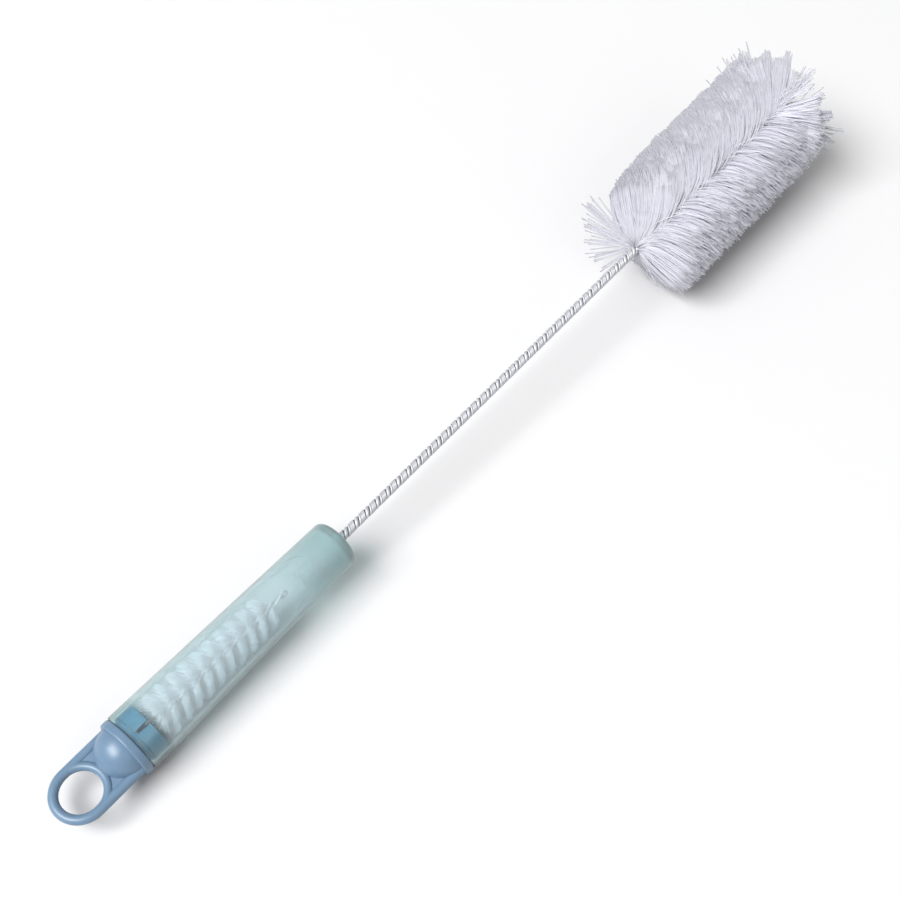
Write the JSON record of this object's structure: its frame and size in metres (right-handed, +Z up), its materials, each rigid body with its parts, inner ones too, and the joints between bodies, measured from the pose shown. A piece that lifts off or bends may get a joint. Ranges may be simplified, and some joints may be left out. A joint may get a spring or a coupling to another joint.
{
  "type": "bottle brush",
  "caption": "Bottle brush: translucent hollow handle, twisted wire stem and round bristle head; a ring cap carries a teat brush kept inside the handle.",
  "frame": {"origin": "middle of the footprint, on the surface that the brush lies on", "axes": "+X along the brush, from the hanging ring to the bristle head; +Z up; Y across"},
  "size_m": [0.3712, 0.049, 0.0524],
  "materials": {
    "handle": "translucent polypropylene, lightly frosted",
    "cap": "blue moulded plastic, satin gloss",
    "wire": "bright galvanised wire",
    "strands": "fine bright strands",
    "bristles": "clear white nylon filament"
  },
  "bodies": {
    "cap_brush": {"ring_cap": "cap", "teat_brush_wire": "wire", "teat_brush_bristles": "bristles"},
    "bottle_brush": {"handle": "handle", "stem_wire": "wire", "stem_strands": "strands", "bristle_head": "bristles"}
  },
  "joints": [
    {"name": "cap_pull", "type": "slide", "parent": "cap_brush", "child": "bottle_brush", "axis": [0.9986, 0, 0.0534], "range_m": [0, 0.07]}
  ]
}
